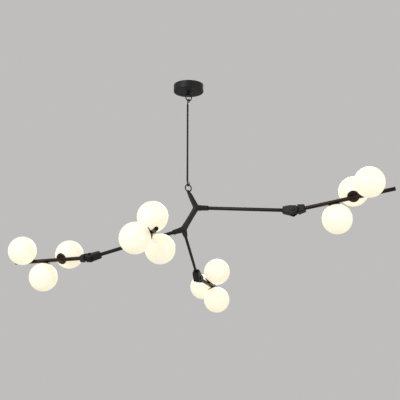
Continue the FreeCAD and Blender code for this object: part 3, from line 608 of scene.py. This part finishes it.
@dataclass(frozen=True)
class OpalGlass:
    """Milk glass with a lamp behind it: warm glow, faint clouds and a gloss skin.

    Attributes:
        glass: Colour of the glass itself.
        glow: Colour of the light that comes through.
        cloud: Colour of that light in the thicker clouds.
        strength: Strength of the glow.
        roughness: Roughness of the skin.
    """

    glass: Colour = (0.70, 0.69, 0.68)
    glow: Colour = (1.0, 0.91, 0.60)
    cloud: Colour = (1.0, 0.89, 0.56)
    strength: float = 0.60
    roughness: float = 0.12

    def material(self, name: str, groups: ShaderGroups) -> bpy.types.Material:
        """Make the material.

        Args:
            name: The material's name.
            groups: The shared node groups.

        Returns:
            The new material.
        """
        material, tree, shader = new_material(name)
        grain = put(tree, "ShaderNodeGroup", node_tree=groups.grain)
        grain.inputs["Grain"].default_value = 120.0
        grain.inputs["Cloud"].default_value = 14.0
        bump = put(tree, "ShaderNodeBump", {
            "Height": grain.outputs["Smudge"], "Strength": 0.15, "Distance": 0.04 * MM})
        paler = tuple(min(1.0, part * 1.04) for part in self.glass)
        tree.links.new(blended(tree, grain.outputs["Tone"], self.glass, paler),
                       shader.inputs["Base Color"])
        tree.links.new(blended(tree, grain.outputs["Tone"], self.glow, self.cloud),
                       shader.inputs["Emission Color"])
        tree.links.new(ranged(tree, grain.outputs["Smudge"], (0.0, 1.0),
                              (self.roughness - 0.03, self.roughness + 0.05)),
                       shader.inputs["Roughness"])
        tree.links.new(bump.outputs["Normal"], shader.inputs["Normal"])
        shader.inputs["Emission Strength"].default_value = self.strength
        return material


FINISHES: dict[str, Any] = {
    "canopy_black": PaintedMetal((0.011, 0.011, 0.012), (0.016, 0.016, 0.017),
                                 (0.10, 0.10, 0.10), roughness=0.5, wear=0.25),
    "hanger_black": PaintedMetal((0.008, 0.008, 0.009), (0.013, 0.012, 0.012),
                                 (0.09, 0.09, 0.09), roughness=0.38, wear=0.35),
    "arm_black": PaintedMetal((0.010, 0.009, 0.010), (0.015, 0.014, 0.013),
                              (0.09, 0.08, 0.08), roughness=0.4),
    "casting_black": PaintedMetal((0.012, 0.011, 0.012), (0.020, 0.019, 0.019),
                                  (0.13, 0.12, 0.12), roughness=0.46, grain=650.0,
                                  depth=0.09, wear=0.6, edge=0.8),
    # Black lacquer on the end tubes; the warm brown in these colours is painted glow from the
    # nearby globes.
    "end_tube_black": PaintedMetal((0.020, 0.012, 0.010), (0.038, 0.020, 0.014),
                                   (0.22, 0.12, 0.07), roughness=0.34, metallic=0.35),
    # Black lacquer on the cups; the warm copper-brown in these colours is painted glow from the
    # globes that stand in them.
    "cup_black": PaintedMetal((0.034, 0.018, 0.013), (0.070, 0.034, 0.022),
                              (0.28, 0.15, 0.09), roughness=0.32, wear=0.7, metallic=0.5),
    "black_fasteners": PaintedMetal((0.022, 0.022, 0.023), (0.040, 0.040, 0.040),
                                    (0.22, 0.22, 0.22), roughness=0.3, wear=0.8,
                                    metallic=0.8),
    "zinc_steel": BrushedSteel(),
    "terminal_plastic": GlazedOrMoulded((0.80, 0.80, 0.77), (0.72, 0.71, 0.67), 0.5, 0.0),
    "holder_ceramic": GlazedOrMoulded((0.84, 0.83, 0.79), (0.70, 0.66, 0.58), 0.22, 0.5),
    "lamp_glass": OpalGlass(glass=(0.9, 0.88, 0.82), strength=0.9, roughness=0.25),
    "opal_glass": OpalGlass(),
}


# ---------------------------------------------------------------- workshop

class Workshop:
    """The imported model's nodes, and what mounts and dresses pieces on its bodies."""

    def __init__(self, frame: dict[str, Any]) -> None:
        """Read the record and make the finishes.
        """
        record = frame["record"]
        self.nodes: dict[str, bpy.types.Object] = frame["nodes"]
        self.body_of = {node: body for body, nodes in record["behaviour"]["bodies"].items()
                        for node in nodes}
        self.slot_of = {part["node"]: part["material_slot"] for part in record["subparts"]}
        groups = ShaderGroups()
        self.materials = {name: finish.material(name, groups)
                          for name, finish in FINISHES.items()}

    def mount(self, piece: bpy.types.Object, *nodes: str) -> None:
        """Dress a new piece and let it stand for the CAD nodes that it replaces.

        Args:
            piece: The finished piece.
            *nodes: Names of the nodes, the first of which gives body and finish.
        """
        slot = self.slot_of[nodes[0]]
        piece.data.materials.clear()
        piece.data.materials.append(self.materials[slot])
        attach(piece, self.body_of[nodes[0]])
        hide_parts(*nodes)
        LOG.info("%s: %d faces for %s", piece.name, len(piece.data.polygons),
                 ", ".join(nodes))

    def dress(self, *nodes: str) -> None:
        """Give CAD nodes that stay their finish.

        Args:
            *nodes: Names of the nodes.
        """
        for name in nodes:
            node = self.nodes[name]
            if not node.material_slots:
                node.data.materials.append(None)
            for slot in node.material_slots:
                slot.material = self.materials[self.slot_of[name]]
            LOG.info("%s: kept, dressed as %s", name, self.slot_of[name])

    def eased(self, node: str, bevel: float, sharp: float = 34.0,
              angle: float = 32.0) -> bpy.types.Object:
        """Copy a node's solid and break its edges, as filing and lacquer do.

        Args:
            node: Name of the CAD node.
            bevel: Width of the broken edges, in millimetres; zero keeps them.
            sharp: Least angle of an edge that is broken, in degrees.
            angle: Sharpest edge that is shaded smooth.

        Returns:
            The new piece, mounted in place of the node.
        """
        take(self.nodes[node])
        bpy.ops.object.duplicate(linked=False)
        piece = bpy.context.object
        piece.name = piece.data.name = f"{node}_eased"
        piece.parent = None
        for key in [key for key in piece.keys() if key.startswith("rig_")]:
            del piece[key]
        bpy.ops.object.mode_set(mode="EDIT")
        bpy.ops.mesh.select_mode(type="EDGE")
        bpy.ops.mesh.select_all(action="SELECT")
        bpy.ops.mesh.remove_doubles(threshold=WELD)
        if bevel > 0.0:
            bpy.ops.mesh.dissolve_limited(angle_limit=math.radians(FLAT))
            bpy.ops.mesh.select_all(action="DESELECT")
            bpy.ops.mesh.edges_select_sharp(sharpness=math.radians(sharp))
            bpy.ops.mesh.bevel(offset=bevel * MM, segments=2, profile=0.5,
                               affect="EDGES", clamp_overlap=False)
        bpy.ops.object.mode_set(mode="OBJECT")
        smooth(piece, angle)
        if bevel > 0.0:
            finish_modifier(piece, "WEIGHTED_NORMAL", keep_sharp=True)
        self.mount(piece, node)
        return piece


# ---------------------------------------------------------------- sub-assemblies

@dataclass
class CeilingMount:
    """Canopy with what it hides and carries. Sizes in millimetres.

    Attributes:
        radius: Outer radius of the canopy.
        height: Height of the canopy.
        wall: Thickness of its wall.
        edge: Outer radius of its lower edge.
        hole: Radius of the hole for the nipple.
        hole_ease: Width of the broken edge round that hole.
        band: Depth of the ring of points halfway down the side.
        rim_ease: Width of the broken outer edge at the ceiling.
        lip_ease: Width of the broken inner edge there.
        boss_bevel: Width of the boss's broken edges.
    """

    radius: float = 65.0
    height: float = 32.0
    wall: float = 1.5
    edge: float = 3.0
    hole: float = 5.05
    hole_ease: float = 0.25
    band: float = 14.0
    rim_ease: float = 0.4
    lip_ease: float = 0.3
    boss_bevel: float = 0.35

    def build(self, shop: Workshop) -> None:
        """Model and dress the mount.

        Args:
            shop: The workshop.
        """
        shop.mount(self._canopy(), "canopy")
        shop.eased("canopy_boss", self.boss_bevel)
        shop.dress("ceiling_bracket", "mounting_nipple", "nipple_lock_nuts",
                   "terminal_block")

    def _canopy(self) -> bpy.types.Object:
        """Spin the cup: flat floor, rolled lower edge, straight side and eased rim.

        Returns:
            The cup.
        """
        low, flat = -self.height, self.radius - self.edge
        centre = (flat, low + self.edge)
        inside, brim = self.radius - self.wall, self.radius - self.rim_ease
        cup = turned("canopy_cup", [
            (self.hole, low + self.hole_ease), (self.hole + self.hole_ease, low),
            (flat / 2, low), *arc(centre, self.edge, -90.0, 0.0, steps=8),
            (self.radius, -self.band), (self.radius, -self.rim_ease), (brim, 0.0),
            (inside + self.lip_ease, 0.0), (inside, -self.rim_ease), (inside, -self.band),
            *arc(centre, self.edge - self.wall, 0.0, -90.0, steps=6),
            (flat / 2, low + self.wall), (self.hole, low + self.wall),
            (self.hole, low + self.hole_ease),
        ], segments=144)
        smooth(cup, angle=38.0)
        return cup


@dataclass
class Hanger:
    """Stem with its hooks, and the two ring links. Sizes in millimetres.

    Attributes:
        turn: Turn of the links about the vertical, in degrees.
        offset: Distance of the stem's axis from the object's.
        low: Height of the stem's lower end.
        high: Height of its upper end.
        diameter: Diameter of the stem.
        wall: Thickness of its wall.
    """

    turn: float = 35.0
    offset: float = 7.0
    low: float = -432.4
    high: float = -86.6
    diameter: float = 8.0
    wall: float = 1.0

    def build(self, shop: Workshop) -> None:
        """Model and dress the hanger.

        Args:
            shop: The workshop.
        """
        for node in ("upper_ring", "lower_ring", "stem_hooks"):
            shop.eased(node, bevel=0.0)
        angle = math.radians(self.turn + 90.0)
        side = Vector((math.cos(angle), math.sin(angle), 0.0)) * self.offset * MM
        stem = pipe("stem_rod", side + UP * self.low * MM, side + UP * self.high * MM,
                    self.diameter, self.wall)
        shop.mount(stem, "stem_tube")


@dataclass(frozen=True)
class Layout:
    """Where the hubs, knuckles and end tubes are, in millimetres and degrees.

    Attributes:
        upper_hub: Centre of the upper casting.
        lower_hub: Centre of the lower casting.
        pivots: Centres of the knuckles.
        headings: Azimuth and elevation of each end tube, and the turn of its first globe.
    """

    upper_hub: Triple = (34.1, -9.8, -551.0)
    lower_hub: Triple = (-19.4, -9.8, -643.2)
    pivots: dict[Side, Triple] = field(default_factory=lambda: {
        Side.LEFT: (-399.9, -55.2, -769.5), Side.RIGHT: (426.1, -164.6, -595.9),
        Side.REAR: (39.3, 279.8, -807.7), Side.FRONT: (-193.4, -73.7, -709.6)})
    headings: dict[Side, Triple] = field(default_factory=lambda: {
        Side.LEFT: (149.7, 1.3, 3.8), Side.RIGHT: (-18.5, 8.4, 195.7),
        Side.REAR: (73.7, -2.6, 30.7), Side.FRONT: (-77.7, -2.7, 257.1)})

    def hub(self, side: Side) -> Vector:
        """Point that a branch's arm starts from, in metres."""
        if side is Side.RIGHT:
            return Vector(self.upper_hub) * MM
        lower = Vector(self.lower_hub) * MM
        if side is not Side.FRONT:
            return lower
        way = (self.pivot(Side.LEFT) - lower).normalized()
        return lower + way * (self.pivot(Side.FRONT) - lower).dot(way)

    def pivot(self, side: Side) -> Vector:
        """Centre of a branch's knuckle, in metres."""
        return Vector(self.pivots[side]) * MM

    def arm(self, side: Side) -> Vector:
        """Unit vector along a branch's arm, away from the hub."""
        return (self.pivot(side) - self.hub(side)).normalized()

    def tube(self, side: Side) -> Vector:
        """Unit vector along a branch's end tube, away from its knuckle."""
        azimuth, elevation, _ = (math.radians(part) for part in self.headings[side])
        level = Vector((math.cos(azimuth), math.sin(azimuth), 0.0))
        return level * math.cos(elevation) + UP * math.sin(elevation)

    def branch(self, side: Side) -> Matrix:
        """Place of a branch, rolled so that its Z points at its first globe.

        Args:
            side: Which branch.

        Returns:
            Place on the knuckle's pivot, with X along the end tube.
        """
        axis = self.arm(side).cross(self.tube(side))
        roll = math.radians(self.headings[side][2] - 90.0)
        return placed(self.pivot(side), axis, self.tube(side)) @ Matrix.Rotation(roll, 4, "X")


@dataclass
class Skeleton:
    """The two castings and the three arms. Sizes in millimetres.

    Attributes:
        layout: Where everything is.
        socket: Depth of a casting's socket for an arm.
        fork_seat: Distance from a knuckle's pivot to its arm's end.
        wall: Thickness of the arms' walls.
        bevel: Width of the castings' broken edges.
        arms: Length of a casting's leg and arm diameter for each arm.
    """

    layout: Layout
    socket: float = 22.0
    fork_seat: float = 26.0
    wall: float = 1.5
    bevel: float = 0.4
    arms: dict[Side, tuple[float, float]] = field(default_factory=lambda: {
        Side.LEFT: (45.0, 15.0), Side.RIGHT: (54.0, 15.0), Side.REAR: (44.0, 12.0)})

    def build(self, shop: Workshop) -> None:
        """Model and dress the skeleton.

        Args:
            shop: The workshop.
        """
        for node in ("upper_y_casting", "lower_y_casting"):
            shop.eased(node, self.bevel, sharp=FACET, angle=FACET)
        shop.dress("casting_stud")
        for side, (leg, diameter) in self.arms.items():
            way = self.layout.arm(side)
            first = self.layout.hub(side) + way * (leg - self.socket) * MM
            last = self.layout.pivot(side) - way * self.fork_seat * MM
            shop.mount(pipe(f"{side.value}_arm_tube", first, last, diameter, self.wall),
                       f"{side.value}_arm")


@dataclass
class Knuckles:
    """Forks, tongues and their hardware. Sizes in millimetres.

    Attributes:
        bevel: Width of the broken edges of the forks and tongues.
        fine: Width of the broken edges of the hardware.
    """

    bevel: float = 0.4
    fine: float = 0.2

    def build(self, shop: Workshop) -> None:
        """Model and dress the knuckles.

        Args:
            shop: The workshop.
        """
        for side in Side:
            fork = "front_knuckle_tee" if side is Side.FRONT else f"{side.value}_knuckle_fork"
            for node in (fork, f"{side.value}_knuckle_tongue"):
                shop.eased(node, self.bevel, sharp=FACET, angle=FACET)
        for node in ("knuckle_bolts", "knuckle_nuts", "knuckle_washers"):
            shop.eased(node, self.fine)
        shop.dress("grub_screws")


@dataclass
class GlobeSet:
    """The globe and the cup that it stands in, modelled once. Sizes in millimetres.

    Heights are from the end tube's axis.

    Attributes:
        radius: Outer radius of the globe.
        wall: Thickness of the glass.
        height: Height of the globe's centre.
        neck: Outer radius of the globe's neck.
        neck_low: Height of the neck's lower end.
        rim: Outer radius of the cup.
        floor: Height of the cup's floor.
        foot: Radius of the cup's foot.
        foot_depth: Depth of the foot under the floor.
        foot_ease: Width of the foot's broken edges.
        flat: Radius of the flat under the cup.
        tube: Radius of the end tube, with its room.
        bore: Radius of the hole for the wires.
        skin: Thickness of the cup under its floor.
        room: Gap between the glass and the cup.
        roll: Height of the rolled rim over the belly.
        lip: Width of the rim's broken edges.
        bed_rings: Distances from the rim of the rings of points in the glass's bed.
        throat: Height of the turn from the neck to the ball.
        throat_turn: Angle of that turn, in degrees.
        last_ring: Angle of the last ring of points under the globe's top, in degrees.
    """

    radius: float = 60.0
    wall: float = 3.0
    height: float = 70.0
    neck: float = 16.5
    neck_low: float = 9.8
    rim: float = 24.5
    floor: float = 9.5
    foot: float = 9.5
    foot_depth: float = 2.7
    foot_ease: float = 0.2
    flat: float = 14.0
    tube: float = 8.05
    bore: float = 2.5
    skin: float = 1.3
    room: float = 0.3
    roll: float = 1.2
    lip: float = 0.3
    bed_rings: Triple = (0.3, 3.0, 5.5)
    throat: float = 0.9
    throat_turn: float = 0.9
    last_ring: float = 88.0

    def _sphere(self, radius: float, distance: float) -> float:
        """Height on the lower half of a sphere about the globe's centre."""
        return self.height - math.sqrt(radius ** 2 - distance ** 2)

    def globe(self) -> bpy.types.Object:
        """Blow the globe: short fire-polished neck, ball, and an even wall inside.

        Returns:
            The globe, standing on the Z axis.
        """
        start = -math.degrees(math.acos(self.neck / self.radius))
        ball = turned("globe_master", [
            (self.neck, self.neck_low),
            (self.neck, self._sphere(self.radius, self.neck) - self.throat),
            *arc((0.0, self.height), self.radius, start + self.throat_turn, self.last_ring,
                 steps=46),
            (0.0, self.height + self.radius),
        ])
        finish_modifier(ball, "SOLIDIFY", thickness=self.wall * MM, offset=-1.0,
                        use_even_offset=True)
        smooth(ball, TUBE_SMOOTH)
        return ball

    def cup(self) -> bpy.types.Object:
        """Spin the cup: saddled foot, belly, rolled rim and a bed for the glass.

        Returns:
            The cup, standing on the Z axis over an end tube along X.
        """
        seat, under = self.radius + self.room, self.floor - self.skin
        top, low, ease = self._sphere(seat, self.rim), self.floor - self.foot_depth, self.foot_ease
        groove, steps = self.neck + self.room, 8
        belly = [(self.flat + (self.rim - self.flat) * math.sin(turn),
                  under + (top - self.roll - under) * (1.0 - math.cos(turn)))
                 for turn in (math.radians(90.0 * step / steps) for step in range(steps + 1))]
        bed = [(ring, self._sphere(seat, ring))
               for ring in (*(self.rim - inset for inset in self.bed_rings), groove)]
        cup = turned("cup_master", [
            (self.bore, low), (self.foot - ease, low), (self.foot, low + ease),
            (self.foot, under - ease), (self.foot + self.lip, under),
            *belly, (self.rim, top - self.lip), *bed,
            (groove, self.floor), (self.bore, self.floor), (self.bore, low),
        ])
        clear_selection()
        bpy.ops.mesh.primitive_cylinder_add(
            vertices=96, radius=self.tube * MM, depth=self.rim * 4 * MM,
            rotation=(0.0, math.pi / 2, 0.0))
        saddle = bpy.context.object
        finish_modifier(cup, "BOOLEAN", object=saddle, operation="DIFFERENCE",
                        solver="EXACT")
        bpy.data.objects.remove(saddle)
        smooth(cup, angle=34.0)
        return cup


@dataclass
class Branch:
    """One turning branch: end tube, cups and globes. Sizes in millimetres.

    Attributes:
        layout: Where everything is.
        side: Which branch it is.
        start: Distance from the pivot to the end tube's near end.
        end: Distance from the pivot to its free end.
        first: Distance from the pivot to the first globe.
        count: Number of globes.
        spacing: Distance between globes along the tube.
        twist: Turn from one globe to the next, in degrees.
        diameter: Diameter of the end tube.
        wall: Thickness of its wall.
    """

    layout: Layout
    side: Side
    start: float = 30.0
    end: float = 405.0
    first: float = 162.0
    count: int = 3
    spacing: float = 78.0
    twist: float = 120.0
    diameter: float = 16.0
    wall: float = 1.5

    def build(self, shop: Workshop, globe: bpy.types.Object, cup: bpy.types.Object) -> None:
        """Model and dress the branch.

        Args:
            shop: The workshop.
            globe: The globe to copy.
            cup: The cup to copy.
        """
        name, way = self.side.value, self.layout.tube(self.side)
        pivot = self.layout.pivot(self.side)
        tube = pipe(f"{name}_end_pipe", pivot + way * self.start * MM,
                    pivot + way * self.end * MM, self.diameter, self.wall)
        shop.mount(tube, f"{name}_end_tube")
        places = list(self._places())
        cups = joined(copies(cup, f"{name}_cup", places), f"{name}_spun_cups")
        shop.mount(cups, f"{name}_globe_cups")
        for number, piece in enumerate(copies(globe, f"{name}_opal_globe", places), start=1):
            shop.mount(piece, f"{name}_globe_{number}")
        shop.dress(f"{name}_end_cap", f"{name}_lamp_holders", f"{name}_lamps")

    def _places(self) -> Iterator[Matrix]:
        """Places of the globes: on the tube's axis, with Z towards the globe."""
        branch = self.layout.branch(self.side)
        for number in range(self.count):
            along = Matrix.Translation(RIGHT * (self.first + self.spacing * number) * MM)
            turn = Matrix.Rotation(math.radians(self.twist * number), 4, "X")
            yield branch @ along @ turn


# ---------------------------------------------------------------- studio

@dataclass(frozen=True)
class Softbox:
    """Square soft light. Sizes in metres.

    Attributes:
        name: The light's name.
        place: Where it hangs.
        size: Length of its sides.
        power: Power, in watts.
    """

    name: str
    place: Triple
    size: float
    power: float

    def hang(self, target: Vector) -> None:
        """Hang the light.

        Args:
            target: Point that it looks at.
        """
        data = bpy.data.lights.new(self.name, "AREA")
        data.size, data.energy = self.size, self.power
        lamp = bpy.data.objects.new(self.name, data)
        lamp.location = self.place
        lamp.rotation_euler = (target - Vector(self.place)).to_track_quat("-Z", "Y").to_euler()
        bpy.context.scene.collection.objects.link(lamp)


@dataclass
class Studio:
    """Pale floor, soft light and the camera. Sizes in metres, those of the lens aside.

    Attributes:
        backdrop: Grey of the backdrop as the camera sees it.
        ambient: Strength of the light from all round.
        floor_radius: Radius of the floor.
        floor_height: Height of the floor.
        floor_lift: How much paler the camera sees the floor, to meet the backdrop.
        target: Point of the object that the lights look at.
        softboxes: The soft lights.
        camera_place: Where the camera stands.
        camera_tilt: How far it looks up, in degrees.
        lens: Focal length, in millimetres.
        sensor: Width of the sensor, in millimetres.
    """

    backdrop: float = 0.52
    ambient: float = 0.45
    floor_radius: float = 30.0
    floor_height: float = -2.3
    floor_lift: float = 0.12
    target: Triple = (0.0, 0.0, -0.65)
    softboxes: tuple[Softbox, ...] = (
        Softbox("key_light", (-2.4, -3.0, 0.7), size=2.4, power=70.0),
        Softbox("fill_light", (3.0, -2.2, -0.6), size=2.0, power=26.0),
        Softbox("back_light", (0.8, 2.8, 0.9), size=1.8, power=30.0))
    camera_place: Triple = (0.0496, -3.2968, -1.2756)
    camera_tilt: float = 12.993
    lens: float = 72.0
    sensor: float = 36.0

    def build(self) -> None:
        """Set up floor, light and camera."""
        self._floor()
        self._world()
        for softbox in self.softboxes:
            softbox.hang(Vector(self.target))
        self._camera()
        bpy.context.scene.view_settings.view_transform = "Standard"

    def _floor(self) -> None:
        """Lay the pale floor, which hides nothing when it is seen from below."""
        clear_selection()
        bpy.ops.mesh.primitive_circle_add(vertices=128, radius=self.floor_radius, fill_type="NGON",
                                          location=(0.0, 0.0, self.floor_height))
        floor = bpy.context.object
        floor.name = "studio_floor"
        material, tree, shader = new_material("studio_floor")
        where = put(tree, "ShaderNodeTexCoord")
        noise = put(tree, "ShaderNodeTexNoise", {
            "Vector": where.outputs["Object"], "Scale": 0.6, "Detail": 2.0})
        tree.links.new(blended(tree, noise.outputs["Fac"], (0.58, 0.575, 0.565),
                               (0.61, 0.605, 0.595)), shader.inputs["Base Color"])
        shader.inputs["Roughness"].default_value = 0.8
        ray = put(tree, "ShaderNodeLightPath")
        lift = put(tree, "ShaderNodeMath", {0: ray.outputs["Is Camera Ray"],
                                            1: self.floor_lift}, operation="MULTIPLY")
        shader.inputs["Emission Color"].default_value = (1.0, 0.99, 0.97, 1.0)
        tree.links.new(lift.outputs[0], shader.inputs["Emission Strength"])
        under = put(tree, "ShaderNodeNewGeometry")
        clear = put(tree, "ShaderNodeBsdfTransparent")
        sides = put(tree, "ShaderNodeMixShader", {
            0: under.outputs["Backfacing"], 1: shader.outputs[0], 2: clear.outputs[0]})
        tree.links.new(sides.outputs[0], tree.nodes["Material Output"].inputs["Surface"])
        floor.data.materials.append(material)

    def _world(self) -> None:
        """Light from all round, with a pale backdrop for the camera and in reflections."""
        world = bpy.data.worlds.new("studio")
        bpy.context.scene.world = world
        world.use_nodes = True
        tree = world.node_tree
        tree.nodes.clear()
        ray = put(tree, "ShaderNodeLightPath")
        seen = put(tree, "ShaderNodeMath", {
            0: ray.outputs["Is Camera Ray"], 1: ray.outputs["Is Glossy Ray"]},
            operation="MAXIMUM")
        seen = put(tree, "ShaderNodeMath", {
            0: seen.outputs[0], 1: ray.outputs["Is Transmission Ray"]}, operation="MAXIMUM")
        grey = self.backdrop
        light = put(tree, "ShaderNodeBackground", {
            "Color": (1.0, 1.0, 1.0, 1.0), "Strength": self.ambient})
        drop = put(tree, "ShaderNodeBackground", {
            "Color": (grey, grey * 0.99, grey * 0.97, 1.0), "Strength": 1.0})
        mix = put(tree, "ShaderNodeMixShader", {
            0: seen.outputs[0], 1: light.outputs[0], 2: drop.outputs[0]})
        put(tree, "ShaderNodeOutputWorld", {"Surface": mix.outputs[0]})

    def _camera(self) -> None:
        """Stand the camera where the photograph was taken from."""
        data = bpy.data.cameras.new("camera")
        data.sensor_width, data.lens = self.sensor, self.lens
        camera = bpy.data.objects.new("camera", data)
        camera.location = self.camera_place
        camera.rotation_euler = (math.radians(90.0 + self.camera_tilt), 0.0, 0.0)
        bpy.context.scene.collection.objects.link(camera)
        bpy.context.scene.camera = camera


def main() -> None:
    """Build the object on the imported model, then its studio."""
    logging.basicConfig(level=logging.INFO, format="%(name)s: %(message)s")
    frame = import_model()
    shop = Workshop(frame)
    layout = Layout()
    CeilingMount().build(shop)
    Hanger().build(shop)
    Skeleton(layout).build(shop)
    Knuckles().build(shop)
    globes = GlobeSet()
    globe, cup = globes.globe(), globes.cup()
    for side in Side:
        Branch(layout, side).build(shop, globe, cup)
    for master in (globe, cup):
        bpy.data.objects.remove(master)
    Studio().build()
    clear_selection()


if __name__ == "__main__":
    main()
